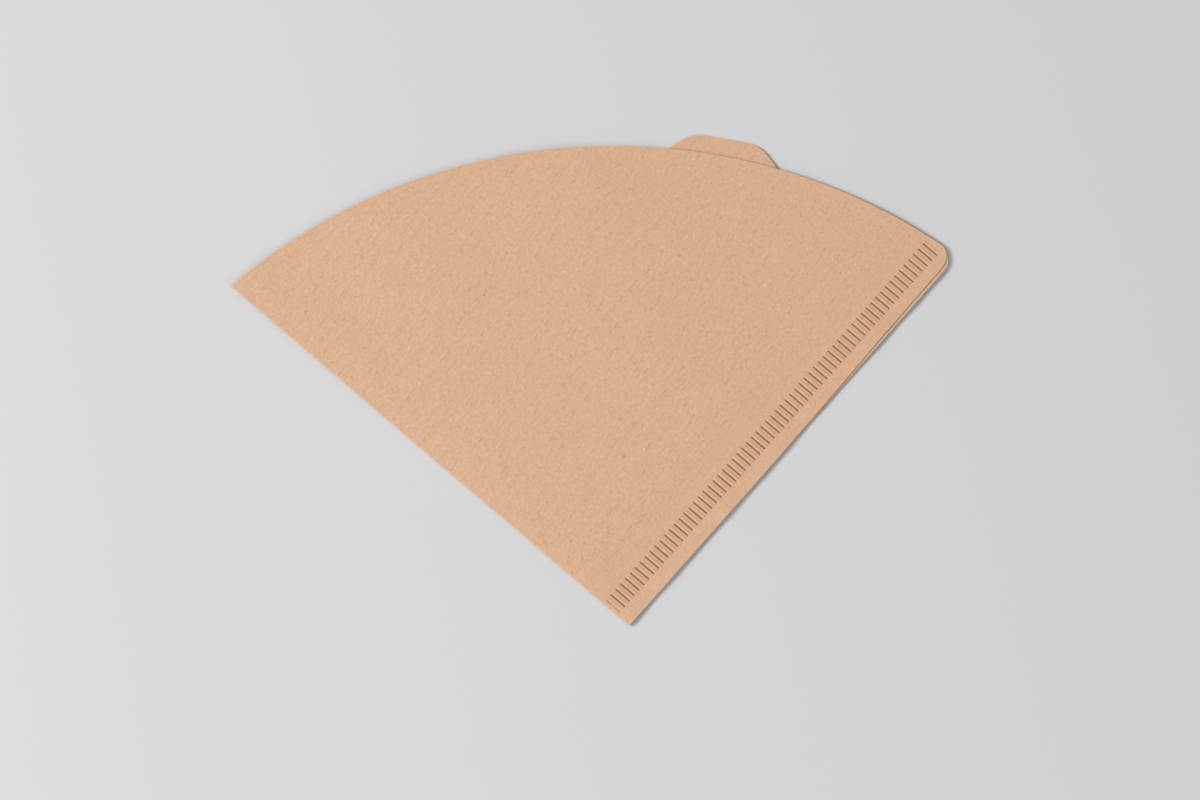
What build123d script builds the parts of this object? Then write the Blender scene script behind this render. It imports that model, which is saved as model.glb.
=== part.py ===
from build123d import *
from math import floor, hypot, sqrt
import os

# Paper filter for a 60 degree coffee cone, folded flat as it comes from its pack.
#
# One sheet of crepe filter paper is folded in half, so that two plies lie one on the other, and
# the two plies are crimped together, without glue, along the side opposite the fold.  What is
# left open is the curved rim.  A 60 degree cone unrolls to half a disc, so each ply is a quarter:
# the fold and the crimped seam meet at the tip at a right angle.
#
# Working axes, in mm: X runs from the tip along the seam, Y from the tip along the fold, and Z up
# through the paper.  The origin is the tip, where the fold meets the middle of the seam.  The
# finished filter is turned by half the quarter and centred, so that its rim faces +Y.

# --- driving dimensions, mm ---------------------------------------------------------------------
paper = 0.20               # thickness of one ply of crepe paper
pocket_gap = 0.35          # how far the two plies stand apart where nothing presses them
fold_length = 117.5        # slant of the cone along the fold: tip to rim
seam_length = 116.5        # the same along the seam, which is cut a little shorter
rim_radius = 134.5         # radius of the cut that makes the rim

seam_margin = 5.8          # from the middle of the crimps to the outer cut edge
corner_radius = 4.5        # rounded corner between the rim and the seam's cut edge
crimp_length = 4.3         # a crimp, measured across the seam
crimp_width = 0.75         # a crimp at the paper's surface, measured along the seam
crimp_floor = 0.20         # the flat bottom of a crimp
crimp_depth = 0.18         # how deep the tooth has pressed into the two plies
crimp_pitch = 1.714        # from crimp to crimp
crimp_start = 1.0          # the first crimp, from the fold
crimp_clear = 1.6          # plain paper left between the last crimp and the rim
weld_margin = 0.6          # the plies stay pressed together this far past the crimps
ramp_length = 6.0          # over this length they part from pressed to fully apart

tab_height = 4.4           # the tab that opens the mouth, beyond the rim
tab_foot = 26.6            # its width where it leaves the rim
tab_top = 15.0             # its width at its outer edge, before the corners are rounded
tab_corner = 3.5           # radius of its two corners
tab_bearing = 30.0         # its direction from the rim's centre, in degrees up from the seam
tab_root = 3.0             # how far the tab's blank reaches back into its own ply

# --- worked out from them -----------------------------------------------------------------------
pressed = 2 * paper                      # height of the two plies where they are pressed together
apart = pressed + pocket_gap             # height of the two plies where they stand apart
rim_chord = hypot(seam_length, fold_length)              # straight across, from rim end to rim end
rim_sink = sqrt(rim_radius**2 - (rim_chord / 2) ** 2)    # from that line to the rim's centre
centre_x = seam_length / 2 - rim_sink * fold_length / rim_chord
centre_y = fold_length / 2 - rim_sink * seam_length / rim_chord
weld_edge = crimp_length / 2 + weld_margin
ramp_end = weld_edge + ramp_length
reach = fold_length + rim_radius         # longer than the filter in any direction


def sleeve_section(low, high, nose, y):
    """Face across the fold at Y = y: level top and bottom, and a half-round end at X = nose."""
    radius = (high - low) / 2
    end = ThreePointArc(
        (nose + radius, y, low),
        (nose, y, (low + high) / 2),
        (nose + radius, y, high),
    )
    top = Line((nose + radius, y, high), (reach, y, high))
    side = Line((reach, y, high), (reach, y, low))
    bottom = Line((reach, y, low), (nose + radius, y, low))
    return Face(Wire([end, top, side, bottom]))


def folded_envelope():
    """The outside of both plies and of the fold, before the sheet's outline is cut."""
    pressed_end = sleeve_section(0, pressed, 0, weld_edge)
    apart_start = sleeve_section(0, apart, 0, ramp_end)
    seam_land = Solid.extrude(pressed_end, Vector(0, -seam_margin - weld_edge, 0))
    ramp = loft([pressed_end, apart_start], ruled=True)
    bag = Solid.extrude(apart_start, Vector(0, reach - ramp_end, 0))
    return seam_land + ramp + bag


def pocket():
    """The space between the plies: a wedge from the weld line, then a level gap.

    At the fold the wedge ends in half a cone, so the paper keeps its thickness round the bend.
    """
    inside = paper + pocket_gap / 2
    wedge_side = Face(
        Wire.make_polygon(
            [
                (paper, weld_edge, paper),
                (paper, ramp_end, paper),
                (paper, ramp_end, paper + pocket_gap),
            ]
        )
    )
    wedge_plan = Face(
        Wire.make_polygon(
            [(paper, weld_edge, 0), (reach, weld_edge, 0), (reach, ramp_end, 0), (inside, ramp_end, 0)]
        )
    )
    wedge = Solid.extrude(wedge_side, Vector(reach, 0, 0))
    wedge = wedge & Solid.extrude(wedge_plan, Vector(0, 0, apart))

    nose_arc = ThreePointArc(
        (inside, ramp_end, paper),
        (paper, ramp_end, inside),
        (inside, ramp_end, paper + pocket_gap),
    )
    nose_face = Face(Wire([nose_arc, Line(nose_arc @ 1, nose_arc @ 0)]))
    nose = loft([Vertex(paper, weld_edge, paper), nose_face], ruled=True)

    level = Solid.extrude(
        sleeve_section(paper, paper + pocket_gap, paper, ramp_end),
        Vector(0, reach - ramp_end, 0),
    )
    return wedge + nose + level


def rim_x(y):
    """Where the rim's circle crosses the line Y = y."""
    return centre_x + sqrt(rim_radius**2 - (y - centre_y) ** 2)


def rim_y(x):
    """Where the rim's circle crosses the line X = x."""
    return centre_y + sqrt(rim_radius**2 - (x - centre_x) ** 2)


def ply_outline():
    """Plan of one ply: the fold's side, the rim's arc, a rounded corner and the seam's edge."""
    beyond_fold = -apart
    fold_end = (beyond_fold, rim_y(beyond_fold))
    seam_end = (rim_x(-seam_margin), -seam_margin)
    middle = (centre_x + rim_radius / sqrt(2), centre_y + rim_radius / sqrt(2))
    rim = ThreePointArc(fold_end, middle, seam_end)
    edge = Polyline(seam_end, (beyond_fold, -seam_margin), fold_end)
    outline = make_face([rim, edge])
    corner = outline.vertices().sort_by(Axis.X)[-1]
    return fillet(corner, corner_radius)


def tab_outline():
    """Plan of the tab: a trapezium that stands on the rim, with its two outer corners rounded."""
    foot_sag = rim_radius - sqrt(rim_radius**2 - (tab_foot / 2) ** 2)
    spread = (tab_foot - tab_top) / 2 / (tab_height + foot_sag)
    root_half = tab_foot / 2 + spread * tab_root
    root = rim_radius - foot_sag - tab_root
    top = rim_radius + tab_height
    blank = make_face(
        Polyline((root, -root_half), (top, -tab_top / 2), (top, tab_top / 2), (root, root_half), close=True)
    )
    blank = fillet(blank.vertices().group_by(Axis.X)[-1], tab_corner)
    return Pos(centre_x, centre_y) * Rot(0, 0, tab_bearing) * blank


def crimps():
    """The row of pressed grooves along the seam, each as long as a tooth of the crimping wheel."""
    count = floor((seam_length - crimp_start - crimp_clear) / crimp_pitch) + 1
    grooves = []
    for number in range(count):
        x = crimp_start + number * crimp_pitch
        groove = Face(
            Wire.make_polygon(
                [
                    (x - crimp_width / 2, -crimp_length / 2, pressed),
                    (x - crimp_floor / 2, -crimp_length / 2, pressed - crimp_depth),
                    (x + crimp_floor / 2, -crimp_length / 2, pressed - crimp_depth),
                    (x + crimp_width / 2, -crimp_length / 2, pressed),
                    (x + crimp_width / 2, -crimp_length / 2, pressed + paper),
                    (x - crimp_width / 2, -crimp_length / 2, pressed + paper),
                ]
            )
        )
        grooves.append(Solid.extrude(groove, Vector(0, crimp_length, 0)))
    return grooves


def folded_filter():
    """The whole filter in its working axes: the folded sheet, its seam and its tab."""
    sheet = folded_envelope() - pocket()
    sheet = sheet & extrude(ply_outline(), amount=apart)
    sheet = sheet + extrude(tab_outline(), amount=paper)
    return sheet - crimps()


def placed(sheet):
    """Turn the rim to face +Y, and put the origin under the middle of the footprint."""
    turned = Rot(0, 0, 45) * sheet
    box = turned.bounding_box()
    return Pos(-box.center().X, -box.center().Y, -box.min.Z) * turned


os.makedirs("parts", exist_ok=True)
filter_paper = placed(folded_filter())
print("solids", len(filter_paper.solids()), "volume mm3", round(filter_paper.volume, 2))
print("size mm", [round(length, 3) for length in filter_paper.bounding_box().size])
export_step(filter_paper.solid(), "parts/filter_paper.step")
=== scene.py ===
# %% [markdown]
# # A folded paper coffee filter
# The object is one sheet of unbleached crepe paper.  It is folded in half, its two plies are
# crimped together along one side, and it lies flat.  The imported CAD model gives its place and
# size; this notebook makes the paper: its plies, its bend, its crimps and its surface.

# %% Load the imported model
import math

import bpy
import numpy as np
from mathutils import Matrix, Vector


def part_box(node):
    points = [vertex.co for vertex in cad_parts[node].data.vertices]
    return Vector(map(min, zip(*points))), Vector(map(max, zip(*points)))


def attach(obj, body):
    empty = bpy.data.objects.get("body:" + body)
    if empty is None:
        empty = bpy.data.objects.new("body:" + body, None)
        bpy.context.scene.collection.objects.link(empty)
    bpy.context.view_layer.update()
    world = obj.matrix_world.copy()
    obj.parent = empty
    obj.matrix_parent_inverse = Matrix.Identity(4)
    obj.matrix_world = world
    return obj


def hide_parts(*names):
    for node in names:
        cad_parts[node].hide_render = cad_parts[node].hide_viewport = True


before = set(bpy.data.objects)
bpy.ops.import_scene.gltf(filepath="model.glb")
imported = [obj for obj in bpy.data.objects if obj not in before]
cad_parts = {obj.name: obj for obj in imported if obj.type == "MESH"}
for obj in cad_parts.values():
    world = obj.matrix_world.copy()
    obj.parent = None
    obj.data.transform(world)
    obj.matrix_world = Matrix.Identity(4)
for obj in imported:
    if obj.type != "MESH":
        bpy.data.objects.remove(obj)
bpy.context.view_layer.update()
low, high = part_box("filter_paper")
print("CAD box, mm", [round((b - a) * 1000, 2) for a, b in zip(low, high)])

# %% [markdown]
# ## The cut
# A 60 degree cone unrolls to half a disc, so each ply is a quarter.  We measure each ply from its
# tip: `u` runs along the seam and `v` along the fold, both in millimetres, because paper is
# easier to think about in those.  Only the mesh turns them into metres in the model's frame.

# %% Sizes of the cut sheet, mm
PAPER = 0.20
FOLD_LENGTH = 117.5
SEAM_LENGTH = 116.5
RIM_RADIUS = 134.5
SEAM_MARGIN = 5.8
CORNER_RADIUS = 4.5
CRIMP_PITCH, CRIMP_START, CRIMP_LENGTH, CRIMP_COUNT = 1.714, 1.0, 4.3, 67
TAB_HEIGHT, TAB_FOOT, TAB_TOP, TAB_BEARING = 4.4, 26.6, 15.0, 30.0
TAB_ROUNDING, TAB_FADE = 0.4, 14
GROOVE_WIDTH, GROOVE_DEPTH = 0.19, 0.34
RIDGE_PLACE, RIDGE_WIDTH, RIDGE_HEIGHT = 0.50, 0.22, 0.11
CREASE_WIDTH, CREASE_DEPTH = 0.12, 0.05
PLY_SLIP, SLIP_START, SLIP_END = 0.8, 45, 112

half = math.sqrt(0.5)
chord = math.hypot(SEAM_LENGTH, FOLD_LENGTH)
sink = math.sqrt(RIM_RADIUS**2 - (chord / 2) ** 2)
centre_u = SEAM_LENGTH / 2 - sink * FOLD_LENGTH / chord
centre_v = FOLD_LENGTH / 2 - sink * SEAM_LENGTH / chord
tip = np.array([low[0] * 1000 + FOLD_LENGTH * half, low[1] * 1000 + SEAM_MARGIN * half])
print("rim centre", round(centre_u, 2), round(centre_v, 2), "tip at", tip.round(2))

# %% [markdown]
# ## Outline of a ply
# The rim is one arc, and its corner at the seam is rounded.  Both are circles, so the outline is
# a formula and needs no list of points.


# %% Rim, corner and tab
def rim_u(v):
    """Where the rim crosses the line at v: the centre's u plus the root of R squared less the
    square of the line's distance from the centre."""
    return centre_u + np.sqrt(RIM_RADIUS**2 - (v - centre_v) ** 2)


def rim_v(u):
    """The same for a line at u, parallel to the fold."""
    return centre_v + np.sqrt(RIM_RADIUS**2 - (u - centre_u) ** 2)


corner_v = CORNER_RADIUS - SEAM_MARGIN
corner_u = centre_u + math.sqrt((RIM_RADIUS - CORNER_RADIUS) ** 2 - (corner_v - centre_v) ** 2)
corner_top = centre_v + RIM_RADIUS * (corner_v - centre_v) / (RIM_RADIUS - CORNER_RADIUS)


def seam_end(v):
    """How far a line parallel to the seam runs before it leaves the paper: to the rim, or below
    corner_top to the small circle of the rounded corner."""
    inside = np.maximum(CORNER_RADIUS**2 - (v - corner_v) ** 2, 0)
    return np.where(v < corner_top, corner_u + np.sqrt(inside), rim_u(v))


def smooth(x, start, stop):
    """0 before start, 1 after stop, and the cubic 3t^2 - 2t^3 between them."""
    t = np.clip((x - start) / (stop - start), 0, 1)
    return t * t * (3 - 2 * t)


def tab_push(u, v):
    """How far the tab moves a point away from the rim's centre.  Its outer edge is straight and
    its flanks are straight, joined by a parabola; the push fades to nothing TAB_FADE inside."""
    radius = np.hypot(u - centre_u, v - centre_v)
    turn = np.arctan2(v - centre_v, u - centre_u) - math.radians(TAB_BEARING)
    flank = (TAB_FOOT - TAB_TOP) / 2
    climb = (TAB_FOOT / 2 - np.abs(turn) * RIM_RADIUS) / flank
    bend = (climb - 1 + TAB_ROUNDING) ** 2 / (4 * TAB_ROUNDING)
    height = np.where(climb < 1 - TAB_ROUNDING, climb, climb - bend)
    height = np.clip(np.where(climb > 1 + TAB_ROUNDING, 1, height), 0, 1)
    straight = (RIM_RADIUS + TAB_HEIGHT) / np.cos(turn) - RIM_RADIUS
    return height * straight * smooth(radius, RIM_RADIUS - TAB_FADE, RIM_RADIUS)


print("seam edge ends at", round(float(corner_u), 2), "rim meets the corner at v", round(corner_top, 2))

# %% [markdown]
# ## How the paper lies
# Paper that has been pressed flat is never quite flat.  The corners spring up a little, the plies
# part over the first few millimetres from the fold and from the seam, and the crimping wheel
# leaves soft puckers along the seam.  A cloth simulation would need the paper's stiffness to give
# this; a few slow waves give it directly and are the same on each run.


# %% Heights of the two plies
def rest_height(u, v):
    """Height of the lower ply's middle: two slow waves that grow towards the rim, a lift at the
    two rim corners, and puckers along the seam that fade to about a third every 9 mm."""
    out = np.hypot(u, v) / FOLD_LENGTH
    waves = 0.16 * np.sin(2 * np.pi * (0.55 * u + 0.84 * v) / 61 + 0.6)
    waves = waves + 0.11 * np.sin(2 * np.pi * (0.93 * u - 0.37 * v) / 43 + 2.0)
    fold_corner = 0.75 * smooth(v, 50, 124) * np.exp(-u / 42)
    seam_corner = 0.45 * smooth(u, 60, 122) * np.exp(-np.maximum(v, 0) / 30)
    fade = np.exp(-(v + SEAM_MARGIN) / 9)
    pucker = 0.07 * np.sin(2 * np.pi * u / 17.3 + 1.1) + 0.05 * np.sin(2 * np.pi * u / 10.9)
    return waves * smooth(out, 0.05, 1.0) + fold_corner + seam_corner + pucker * fade


def pocket_gap(u, v):
    """Clear space between the plies: closed at the crimps, opening up to 11 mm from the seam and
    6 mm from the fold, with a low belly that is highest in the middle of the mouth.  Outside the
    crimps the two cut edges stand a hair apart."""
    bearing = np.arctan2(np.maximum(v, 0), np.maximum(u, 1e-6))
    out = np.hypot(u, v) / FOLD_LENGTH
    from_seam = smooth(v, CRIMP_LENGTH / 2 + 0.4, 11)
    from_fold = 0.18 + 0.82 * smooth(u, -2, 6)
    belly = 0.55 * smooth(out, 0.35, 1.05) * np.sin(2 * bearing) ** 2
    ripple = 0.05 * np.sin(2 * np.pi * (u + 0.4 * v) / 31 + 0.9)
    inside = (0.30 + belly + ripple) * from_seam * from_fold
    edge_noise = 0.5 + 0.5 * np.sin(2 * np.pi * u / 23 + 0.4) * np.sin(2 * np.pi * u / 9.1)
    outside = smooth(-v, CRIMP_LENGTH / 2 + 0.3, SEAM_MARGIN + 1) * (0.05 + 0.09 * edge_noise)
    return 0.02 + inside + outside


def crimp_relief(u, v):
    """The toothed wheels press both plies alike: a bell curve exp(-(distance/width)^2) for the
    groove at each crimp, one for the ridge on each side of it, and one for the shallow crease
    half way to the next.  They end abruptly across the seam, and the first tooth, close to the
    fold, presses less."""
    phase = (u - CRIMP_START) / CRIMP_PITCH
    from_groove = np.abs(phase - np.round(phase)) * CRIMP_PITCH
    from_crease = CRIMP_PITCH / 2 - from_groove
    groove = np.exp(-((from_groove / GROOVE_WIDTH) ** 2))
    ridge = np.exp(-(((from_groove - RIDGE_PLACE) / RIDGE_WIDTH) ** 2))
    crease = np.exp(-((from_crease / CREASE_WIDTH) ** 2))
    row_end = CRIMP_START + (CRIMP_COUNT - 0.5) * CRIMP_PITCH
    row = smooth(u, 0.3, 2.2) * (1 - smooth(u, row_end - 0.2, row_end + 0.2))
    tooth_end = 0.12
    tooth = 1 - smooth(np.abs(v), CRIMP_LENGTH / 2 - tooth_end, CRIMP_LENGTH / 2 + tooth_end)
    return (RIDGE_HEIGHT * ridge - GROOVE_DEPTH * groove - CREASE_DEPTH * crease) * row * tooth


# %% [markdown]
# ## The grid
# The sheet is unrolled in the mind: columns run from the lower ply's seam end, through the fold,
# to the upper ply's.  Along the seam the grid is fine, eight columns to a crimp.  In the body only
# every eighth goes on, and every second beyond `tab_from`, because the tab's flanks need more.  A
# band of triangles joins the two, and the whole sheet stays under 200,000 triangles.

# %% Columns and rows
# Columns round each groove, mm from its middle: close together on its flanks, one on the crease
# half a pitch away.  Rows crowd where the crimps end.
within_crimp = np.array([-0.32, -0.15, 0, 0.15, 0.32, 0.55, 0.857, 1.16])
crimp_columns = (CRIMP_START + CRIMP_PITCH * np.arange(CRIMP_COUNT)[:, None] + within_crimp).ravel()
strip_top = 3.2
body_foot = 3.8
last_free = crimp_columns[-1]
ply_end = float(rim_u(strip_top))
start_columns = np.array([0.33, 0.5])
end_columns = np.linspace(last_free, ply_end, 7)[1:]
ply_u = np.concatenate([start_columns, crimp_columns, end_columns])

bend = np.linspace(-90, 90, 9)
column_u = np.concatenate([ply_u[::-1], np.zeros(bend.size), ply_u])
column_turn = np.concatenate([np.full(ply_u.size, -90.0), bend, np.full(ply_u.size, 90.0)])

tab_from = 88
place_in_ply = np.arange(ply_u.size)
every_eighth = place_in_ply % within_crimp.size == 0
coarse_ply = every_eighth | ((ply_u > tab_from) & (place_in_ply % 2 == 0))
coarse_ply[[0, -1]] = True
coarse = np.concatenate([coarse_ply[::-1], np.ones(bend.size, bool), coarse_ply])

margin_rows = -SEAM_MARGIN + (SEAM_MARGIN - 2.5) * np.linspace(0, 1, 7) ** 2
tooth_rows = np.array([-2.3, -2.12, -1.9, -1.2, 0, 1.2, 1.9, 2.12, 2.3, 2.6])
strip_v = np.concatenate([margin_rows, tooth_rows, [strip_top]])
body_steps = np.linspace(0, 1, 111)
print("strip", column_u.size, "x", strip_v.size, "body", int(coarse.sum()), "x", body_steps.size)

# %% [markdown]
# ## Plan of the grid
# In the strip the columns are parallel and only the last ones lean, so that the last of all
# follows the rounded corner.  The body has four sides: the strip, the fold and two stretches of
# the rim, which meet at `SPLIT_V`.  A Coons patch fills it: it blends opposite sides and takes the
# corners off once.


# %% Plan positions
MARGIN_FREE = 105.0
SLIP_FOOT = 2.6
SPLIT_V = 12.0


def strip_plan(u, v, upper):
    """Columns are squeezed in proportion, from a free point to the outline: inside the crimps only
    the last few, in the margin all beyond MARGIN_FREE, which makes room for the rounded corner.
    The upper ply's margin is cut short by up to PLY_SLIP, because the plies slipped before the
    cut; the shift grows from nothing at SLIP_FOOT below the crimps' middle to all at the edge."""
    free = np.where(v < -CRIMP_LENGTH / 2 - 0.1, MARGIN_FREE, last_free)
    squeeze = (seam_end(v) - free) / (ply_end - free)
    squeezed = np.where(u > free, free + (u - free) * squeeze, u)
    to_edge = np.clip((-SLIP_FOOT - v) / (SEAM_MARGIN - SLIP_FOOT), 0, 1)
    slip = PLY_SLIP * smooth(squeezed, SLIP_START, SLIP_END) * to_edge
    return squeezed, v + np.where(upper, slip, 0)


def body_plan(u, step):
    """Coons patch: (1-y)*bottom + y*top + (1-x)*left + x*right - the bilinear blend of the four
    corners, with x = u over the ply's length and y = step, from the strip to the rim."""
    x = u / ply_end
    foot_u, split_u = float(rim_u(body_foot)), float(rim_u(SPLIT_V))
    bottom = np.stack([x * foot_u, body_foot + 0 * x])
    top_u = x * split_u
    top = np.stack([top_u, rim_v(top_u)])
    left = np.stack([0 * step, body_foot + step * (FOLD_LENGTH - body_foot)])
    right_v = body_foot + step * (SPLIT_V - body_foot)
    right = np.stack([rim_u(right_v), right_v])
    corners = (1 - x) * (1 - step) * np.array([0, body_foot])[:, None, None]
    corners = corners + x * (1 - step) * np.array([foot_u, body_foot])[:, None, None]
    corners = corners + (1 - x) * step * np.array([0, FOLD_LENGTH])[:, None, None]
    corners = corners + x * step * np.array([split_u, SPLIT_V])[:, None, None]
    place = (1 - step) * bottom + step * top + (1 - x) * left + x * right - corners
    return place[0], place[1]


def with_tab(u, v, lower):
    """Only the lower ply has the tab, so only its points are pushed outwards."""
    push = np.where(lower, tab_push(u, v), 0)
    radius = np.hypot(u - centre_u, v - centre_v)
    return u + push * (u - centre_u) / radius, v + push * (v - centre_v) / radius


# %% [markdown]
# ## Two plies and a bend
# A point's height comes from its plan place and its ply.  At the fold the columns turn through
# half a circle whose diameter is the distance between the plies' middles.


# %% Middle of the paper
def lay(u, v, turn):
    """Middle of the paper, in mm: across the fold the column moves on a half circle from the
    lower ply's middle to the upper's; elsewhere it lies on its own ply."""
    lower = rest_height(u, v) + crimp_relief(u, v)
    apart = PAPER + pocket_gap(u, v)
    radius = apart / 2
    angle = np.radians(turn)
    height = lower + radius * (1 + np.sin(angle))
    in_bend = u < 1e-9
    along = np.where(in_bend, radius * (1 - np.cos(angle)), u)
    x = tip[0] + (along - v) * half
    y = tip[1] + (along + v) * half
    return np.stack([x, y, height], axis=-1), np.where(in_bend, turn / 90 * radius, np.sign(turn) * u)


def offset_normals(points):
    """Unit normals of a grid: the cross product of its column and row directions."""
    across = np.gradient(points, axis=1)
    up = np.gradient(points, axis=0)
    normal = np.cross(across, up)
    return normal / np.linalg.norm(normal, axis=-1, keepdims=True)


def middle_grids():
    """Middle surface of the strip and of the body, with the unrolled place of each point."""
    u, v = strip_plan(column_u[None, :], strip_v[:, None], column_turn[None, :] >= 90)
    strip, strip_s = lay(u, v, np.broadcast_to(column_turn, u.shape))
    strip_flat = np.stack([strip_s, v], -1)
    u, v = body_plan(column_u[coarse][None, :], body_steps[:, None])
    turn = np.broadcast_to(column_turn[coarse], u.shape)
    u, v = with_tab(u, v, turn <= -90)
    body, body_s = lay(u, v, turn)
    return strip, strip_flat, body, np.stack([body_s, v], -1)


strip_mid, strip_flat, body_mid, body_flat = middle_grids()
floor_gap = PAPER / 2 - min(strip_mid[..., 2].min(), body_mid[..., 2].min())
strip_mid[..., 2] += floor_gap
body_mid[..., 2] += floor_gap
print("height of the middle, mm", body_mid[..., 2].min().round(3), body_mid[..., 2].max().round(3))

# %% [markdown]
# ## Thickness and faces
# Paper is a sheet with a thickness, so the surface is copied half the thickness to each side and
# the cut edges are closed with a narrow band.  A Solidify modifier would do the same; done here,
# the band gets its own place in the bake's map.


# %% Faces
def grid_faces(first, rows, columns):
    """Quads of a grid whose points are numbered row by row from first."""
    corner = first + np.arange(rows - 1)[:, None] * columns + np.arange(columns - 1)
    return np.stack([corner, corner + 1, corner + columns + 1, corner + columns], -1).reshape(-1, 4)


def joining_faces(fine, coarse_line, owner):
    """Triangles between a fine and a coarse line: each fine edge meets the coarse point that owns
    its start, and where the owner changes a second triangle closes the gap."""
    first = np.stack([fine[:-1], fine[1:], coarse_line[owner[:-1]]], -1)
    change = owner[1:] != owner[:-1]
    second = np.stack([fine[1:], coarse_line[owner[1:]], coarse_line[owner[:-1]]], -1)[change]
    return np.concatenate([first, second])


rows_a, cols_a = strip_mid.shape[:2]
rows_b, cols_b = body_mid.shape[:2]
count = rows_a * cols_a + rows_b * cols_b
strip_index = np.arange(rows_a * cols_a).reshape(rows_a, cols_a)
body_index = rows_a * cols_a + np.arange(rows_b * cols_b).reshape(rows_b, cols_b)

coarse_places = np.flatnonzero(coarse)
owner = np.abs(np.arange(cols_a)[:, None] - coarse_places).argmin(1)
quads = np.concatenate([grid_faces(0, rows_a, cols_a), grid_faces(rows_a * cols_a, rows_b, cols_b)])
joins = joining_faces(strip_index[-1], body_index[0], owner)
border = np.concatenate([strip_index[0], strip_index[1:, -1], body_index[:, -1],
                         body_index[-1, -2::-1], body_index[-2::-1, 0], strip_index[:0:-1, 0]])
band = np.stack([np.roll(border, -1), border, border + count, np.roll(border, -1) + count], -1)
triangles = 4 * len(quads) + 2 * len(joins) + 2 * len(band)
print("quads", 2 * len(quads) + len(band), "triangles in all", triangles)

# %% [markdown]
# ## Mesh and maps
# Two maps ride on the sheet.  `Sheet` is the unrolled paper in metres, so that a pattern follows
# the paper round the fold.  `OFBake` lays the outside and the inside one above the other in a
# square, a map for baking the finish.


# %% Maps of the sheet
MAP_WIDTH = 2 * FOLD_LENGTH + 6
BAND_LOOK = np.array([0, 45])


def bake_places(flat, corners):
    """The unrolled sheet over MAP_WIDTH, the inside half a square higher.  A corner of the band
    that is on the inside stays beside the outside's edge, one paper's thickness further from
    BAND_LOOK, a point in the middle of the sheet."""
    inner = (corners >= count).astype(float)
    in_band = np.zeros(len(corners), bool)
    in_band[8 * len(quads):8 * len(quads) + 4 * len(band)] = True
    across = flat[corners, 0] / MAP_WIDTH + 0.5
    along = (flat[corners, 1] + SEAM_MARGIN + 1) / MAP_WIDTH + 0.5 * np.where(in_band, 0, inner)
    out = flat[corners] - BAND_LOOK
    out = out / np.linalg.norm(out, axis=1, keepdims=True) * PAPER / MAP_WIDTH
    return np.stack([across, along], -1) + out * (in_band * inner)[:, None]


# %% Build the mesh
def sheet_mesh(name):
    """Outer points are the middle plus half the paper along the normal, inner points minus."""
    middle = np.concatenate([strip_mid.reshape(-1, 3), body_mid.reshape(-1, 3)])
    normal = np.concatenate([offset_normals(g).reshape(-1, 3) for g in (strip_mid, body_mid)])
    flat = np.concatenate([strip_flat.reshape(-1, 2), body_flat.reshape(-1, 2)])
    points = np.concatenate([middle + normal * PAPER / 2, middle - normal * PAPER / 2]) / 1000
    flat = np.concatenate([flat, flat])
    four = np.concatenate([quads, quads[:, ::-1] + count, band])
    three = np.concatenate([joins, joins[:, ::-1] + count])
    corners = np.concatenate([four.ravel(), three.ravel()])
    sizes = np.concatenate([np.full(len(four), 4), np.full(len(three), 3)])
    starts = np.concatenate([[0], np.cumsum(sizes)[:-1]])

    mesh = bpy.data.meshes.new(name)
    mesh.vertices.add(len(points))
    mesh.vertices.foreach_set("co", points.ravel())
    mesh.loops.add(len(corners))
    mesh.loops.foreach_set("vertex_index", corners.astype(np.int32))
    mesh.polygons.add(len(sizes))
    mesh.polygons.foreach_set("loop_start", starts.astype(np.int32))
    mesh.polygons.foreach_set("use_smooth", np.ones(len(sizes), bool))

    sheet_map = mesh.uv_layers.new(name="Sheet")
    sheet_map.data.foreach_set("uv", (flat[corners] / 1000).ravel())
    bake_map = mesh.uv_layers.new(name="OFBake")
    bake_map.data.foreach_set("uv", bake_places(flat, corners).ravel())
    mesh.uv_layers["Sheet"].active_render = True
    mesh.update(calc_edges=True)
    mesh.validate()
    mesh.set_sharp_from_angle(angle=math.radians(70))
    return mesh


paper_sheet = bpy.data.objects.new("paper_sheet", sheet_mesh("paper_sheet"))
bpy.context.collection.objects.link(paper_sheet)
print("vertices", len(paper_sheet.data.vertices), "faces", len(paper_sheet.data.polygons))
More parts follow.
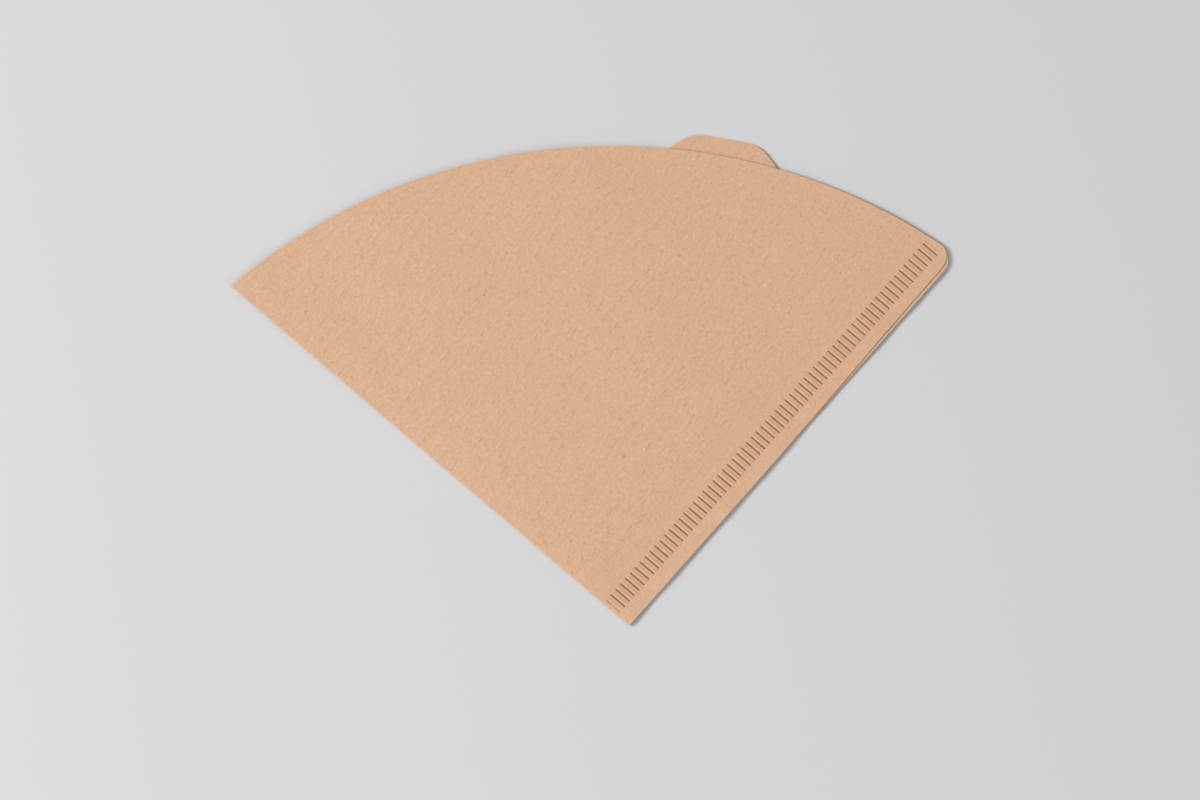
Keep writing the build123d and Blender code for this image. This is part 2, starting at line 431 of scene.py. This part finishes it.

# %% [markdown]
# ## The finish
# Unbleached crepe paper: one warm brown, clouded where the pulp is thicker, with rows of short
# creases that run along the seam about 3 mm apart, fine dark fibres and a few light flecks.  The
# creases are darker in the colour too, which is painted shade where they dip.  The pattern reads
# the `Sheet` map, so it turns with the paper at the fold.  An image could give it too, but noise
# has no joins and stays sharp close up.  The crimps are shapes in the mesh; the finish also
# darkens their grooves and creases, partly because pressed paper is denser and partly as painted
# shade in the hollows.


# %% Node helpers
class Nodes:
    """Short names for the few kinds of node that the finish is made of."""

    def __init__(self, material):
        material.use_nodes = True
        self.tree = material.node_tree
        self.tree.nodes.clear()

    def add(self, kind, **settings):
        node = self.tree.nodes.new(kind)
        for key, value in settings.items():
            setattr(node, key, value)
        return node

    def put(self, socket, value):
        if isinstance(value, bpy.types.NodeSocket):
            self.tree.links.new(value, socket)
        else:
            socket.default_value = value

    def math(self, operation, a, b=0.0, c=0.0, clamp=False):
        node = self.add("ShaderNodeMath", operation=operation, use_clamp=clamp)
        for socket, value in zip(node.inputs, (a, b, c)):
            self.put(socket, value)
        return node.outputs[0]

    def scaled(self, vector, x, y, z=1.0, shift=(0, 0, 0), turn=0.0):
        node = self.add("ShaderNodeMapping")
        self.put(node.inputs["Vector"], vector)
        node.inputs["Scale"].default_value = (x, y, z)
        node.inputs["Location"].default_value = shift
        node.inputs["Rotation"].default_value = (0, 0, math.radians(turn))
        return node.outputs[0]

    def noise(self, vector, detail=2.0, roughness=0.5, distortion=0.0):
        node = self.add("ShaderNodeTexNoise")
        self.put(node.inputs["Vector"], vector)
        node.inputs["Scale"].default_value = 1.0
        node.inputs["Detail"].default_value = detail
        node.inputs["Roughness"].default_value = roughness
        node.inputs["Distortion"].default_value = distortion
        return node.outputs["Fac"]

    def span(self, value, low_in, high_in, low_out=0.0, high_out=1.0):
        node = self.add("ShaderNodeMapRange", clamp=True)
        for socket, given in zip(node.inputs, (value, low_in, high_in, low_out, high_out)):
            self.put(socket, given)
        return node.outputs[0]

    def mix(self, factor, a, b):
        node = self.add("ShaderNodeMix", data_type="RGBA")
        for name, given in (("Factor_Float", factor), ("A_Color", a), ("B_Color", b)):
            self.put(next(s for s in node.inputs if s.identifier == name), given)
        return next(s for s in node.outputs if s.identifier == "Result_Color")


# %% Grain, creases and flecks
PAPER_BROWN = (0.690, 0.430, 0.268)
# Dark brown of the crimps' grooves and creases: partly denser pressed paper, partly painted shade.
PRESSED_AND_SHADE_BROWN = (0.20, 0.085, 0.035, 1)
ROW_SPACING = 0.00313
# The creases' tone is painted shade: they darken where the crepe dips.
GRAIN_TONE, CLOUD_TONE, CREASE_SHADE_TONE, FLECK_TONE, FIBRE_TONE = 0.12, 0.020, -0.22, 0.12, -0.10


def crepe_rows(n, sheet, across):
    """Wave across the sheet, one crest every ROW_SPACING metres, that slow noise bends."""
    drift = n.noise(n.scaled(sheet, 60, 200, shift=(9, 2, 0)), 2, 0.5)
    rows = n.math("MULTIPLY_ADD", across, 2 * math.pi / ROW_SPACING, n.math("MULTIPLY", drift, 5.0))
    return n.span(n.math("SINE", rows), -0.4, 1.0)


def crepe_creases(n, sheet, row_wave):
    """Short dashes of noise, stronger on the rows' crests and in patches."""
    dashes = n.span(n.noise(n.scaled(sheet, 800, 1700, shift=(1, 7, 0)), 2, 0.6), 0.52, 0.66)
    patches = n.span(n.noise(n.scaled(sheet, 260, 420, shift=(2, 6, 0)), 2, 0.5), 0.35, 0.62)
    creases = n.math("MULTIPLY", dashes, n.math("MULTIPLY_ADD", row_wave, 0.45, 0.3))
    return n.math("MULTIPLY", creases, n.math("MULTIPLY_ADD", patches, 0.8, 0.2))


def fine_fibres(n, sheet):
    """Hair lines where a noise crosses its middle value, cut into short lengths by another."""
    field = n.noise(n.scaled(sheet, 330, 520, turn=25), 1)
    contour = n.math("ABSOLUTE", n.math("SUBTRACT", field, 0.5))
    short = n.span(n.noise(n.scaled(sheet, 520, 520, shift=(6, 9, 0)), 1), 0.56, 0.62)
    return n.math("MULTIPLY", n.span(contour, 0.004, 0.014, 1.0, 0.0), short)


def paper_tone(n, sheet, creases, body):
    """1 + clouds + grain + (creases + flecks) * body + fibres, a factor on the paper's brown; the
    creases' part is painted shade.
    """
    clouds = n.noise(n.scaled(sheet, 130, 160), 3, 0.55)
    grain = n.noise(n.scaled(sheet, 1200, 1250, shift=(3, 5, 0)), 4, 0.65)
    flecks = n.span(n.noise(n.scaled(sheet, 1300, 1500, shift=(4, 4, 0)), 2, 0.5), 0.62, 0.72)
    tone = n.span(clouds, 0.25, 0.75, -CLOUD_TONE, CLOUD_TONE)
    tone = n.math("ADD", tone, n.span(grain, 0.2, 0.8, -GRAIN_TONE, GRAIN_TONE))
    # The creases' darkening here is painted shade; the flecks are the paper's own.
    texture = n.math("MULTIPLY_ADD", creases, CREASE_SHADE_TONE, n.math("MULTIPLY", flecks, FLECK_TONE))
    tone = n.math("ADD", tone, n.math("MULTIPLY", texture, body))
    return n.math("MULTIPLY_ADD", fine_fibres(n, sheet), FIBRE_TONE, n.math("ADD", tone, 1.0))


# %% Pressed paper and painted shade in the crimps
def pressed_and_shade_share(n, along, across):
    """How far the colour goes to the dark crimp brown: 0.70 in each groove, 0.26 in the crease
    between two, nothing outside the row of crimps.  The darkening is partly the denser pressed paper
    and partly painted shade in the grooves and creases.  PINGPONG gives the distance to the nearest
    groove."""
    pitch, reach = CRIMP_PITCH / 1000, CRIMP_LENGTH / 2000
    u = n.math("ABSOLUTE", along)
    from_groove = n.math("PINGPONG", n.math("SUBTRACT", u, CRIMP_START / 1000), pitch / 2)
    groove = n.span(from_groove, 0.00014, 0.00030, 1.0, 0.0)
    crease = n.span(from_groove, pitch / 2 - 0.00022, pitch / 2 - 0.00008)
    pressed_and_shade = n.math("MULTIPLY_ADD", groove, 0.70, n.math("MULTIPLY", crease, 0.26))
    in_band = n.span(n.math("ABSOLUTE", across), reach - 0.0001, reach + 0.0001, 1.0, 0.0)
    row_end = (CRIMP_START + (CRIMP_COUNT - 0.5) * CRIMP_PITCH) / 1000
    in_row = n.math("MULTIPLY", n.span(u, 0.0003, 0.0020), n.math("LESS_THAN", u, row_end))
    return n.math("MULTIPLY", pressed_and_shade, n.math("MULTIPLY", in_band, in_row))


# %% Paper material
def kraft_paper():
    """Colour = brown x tone, darkened in the crimps; the bump is up to 0.07 mm of pebble less
    creases, plus the rows.  The texture is whole from 10 mm off the seam's middle, and fades to
    0.45 of that at 3 mm, where the wheels have smoothed the paper."""
    material = bpy.data.materials.new("kraft_crepe_paper")
    n = Nodes(material)
    sheet = n.add("ShaderNodeUVMap", uv_map="Sheet").outputs[0]
    place = n.add("ShaderNodeSeparateXYZ")
    n.put(place.inputs[0], sheet)
    along, across = place.outputs[0], place.outputs[1]
    body = n.span(across, 0.003, 0.010, 0.45, 1.0)
    row_wave = crepe_rows(n, sheet, across)
    creases = crepe_creases(n, sheet, row_wave)

    base = n.add("ShaderNodeVectorMath", operation="SCALE")
    base.inputs[0].default_value = PAPER_BROWN
    n.put(base.inputs["Scale"], paper_tone(n, sheet, creases, body))
    # The crimps are darkened with painted shade as well as the pressed paper's darker brown.
    colour = n.mix(pressed_and_shade_share(n, along, across), base.outputs[0], PRESSED_AND_SHADE_BROWN)

    principled = n.add("ShaderNodeBsdfPrincipled")
    n.put(principled.inputs["Base Color"], colour)
    principled.inputs["Roughness"].default_value = 0.92
    principled.inputs["Specular IOR Level"].default_value = 0.25

    pebble = n.noise(n.scaled(sheet, 1100, 1200, shift=(8, 1, 0)), 4, 0.62, 0.4)
    height = n.math("MULTIPLY_ADD", creases, -0.7, n.math("MULTIPLY", pebble, 1.2))
    height = n.math("MULTIPLY_ADD", row_wave, 0.25, n.math("MULTIPLY", height, body))
    bump = n.add("ShaderNodeBump")
    bump.inputs["Strength"].default_value = 1.0
    bump.inputs["Distance"].default_value = 0.00007
    n.put(bump.inputs["Height"], height)
    n.put(principled.inputs["Normal"], bump.outputs[0])
    output = n.add("ShaderNodeOutputMaterial")
    n.put(output.inputs["Surface"], principled.outputs[0])
    return material


# %% [markdown]
# ## The sheet in place of the solid
# The mesh replaces the plain solid, which is hidden, moves with its body and gets the kraft paper
# material.

paper_sheet.data.materials.append(kraft_paper())
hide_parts("filter_paper")
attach(paper_sheet, "root")

# %% [markdown]
# ## Floor, light and camera
# A plain pale floor, a soft lamp from the left at about 45 degrees, so that the crimps and the
# grain show, and a weak fill from the front.  The camera looks down steeply on the sheet with a
# long lens, which keeps its two straight sides at nearly their true angle.


# %% Floor
def plain_floor():
    """A wide square of matt pale grey at the height of the filter's underside."""
    reach = 6.0
    corners = [(-reach, -reach, 0), (reach, -reach, 0), (reach, reach, 0), (-reach, reach, 0)]
    mesh = bpy.data.meshes.new("floor")
    mesh.from_pydata(corners, [], [(0, 1, 2, 3)])
    floor = bpy.data.objects.new("floor", mesh)
    bpy.context.collection.objects.link(floor)
    material = bpy.data.materials.new("pale_floor")
    n = Nodes(material)
    matt = n.add("ShaderNodeBsdfPrincipled")
    matt.inputs["Base Color"].default_value = (0.66, 0.655, 0.67, 1)
    matt.inputs["Roughness"].default_value = 0.7
    matt.inputs["Specular IOR Level"].default_value = 0.2
    output = n.add("ShaderNodeOutputMaterial")
    n.put(output.inputs["Surface"], matt.outputs[0])
    mesh.materials.append(material)
    return floor


plain_floor()


# %% Lamps and world
def soft_lamp(name, place, aim, size, watts):
    """A square area lamp that faces its aim."""
    data = bpy.data.lights.new(name, "AREA")
    data.shape = "SQUARE"
    data.size = size
    data.energy = watts
    lamp = bpy.data.objects.new(name, data)
    bpy.context.collection.objects.link(lamp)
    lamp.location = place
    direction = np.array(aim, float) - np.array(place, float)
    lamp.rotation_mode = "QUATERNION"
    lamp.rotation_quaternion = Vector(direction).to_track_quat("-Z", "Y")
    return lamp


soft_lamp("key", (-1.35, 0.10, 1.30), aim=(0, 0, 0), size=0.8, watts=28)
soft_lamp("fill", (0.3, -0.9, 1.4), aim=(0, 0, 0), size=1.2, watts=7)
world = bpy.data.worlds.new("studio")
bpy.context.scene.world = world
world.use_nodes = True
background = world.node_tree.nodes["Background"]
background.inputs["Color"].default_value = (1, 1, 1, 1)
background.inputs["Strength"].default_value = 0.31

# %% Camera
CAMERA_AZIMUTH, CAMERA_ELEVATION = -3.98, 76.0
CAMERA_DISTANCE = 1.5147
CAMERA_LENS = 195.0
aim = np.array([tip[0] + 1.05, tip[1] + 50.1, 0]) / 1000


def place_camera():
    """The camera stands on a sphere round its aim, at an azimuth and an elevation."""
    a, e = math.radians(CAMERA_AZIMUTH), math.radians(CAMERA_ELEVATION)
    back = np.array([math.sin(a) * math.cos(e), -math.cos(a) * math.cos(e), math.sin(e)])
    data = bpy.data.cameras.new("camera")
    data.lens = CAMERA_LENS
    data.sensor_width = 36.0
    data.clip_start, data.clip_end = 0.01, 50.0
    camera = bpy.data.objects.new("camera", data)
    bpy.context.collection.objects.link(camera)
    camera.location = aim + back * CAMERA_DISTANCE
    camera.rotation_euler = (math.pi / 2 - e, 0, a)
    return camera


bpy.context.scene.camera = place_camera()
bpy.context.scene.view_settings.view_transform = "Standard"
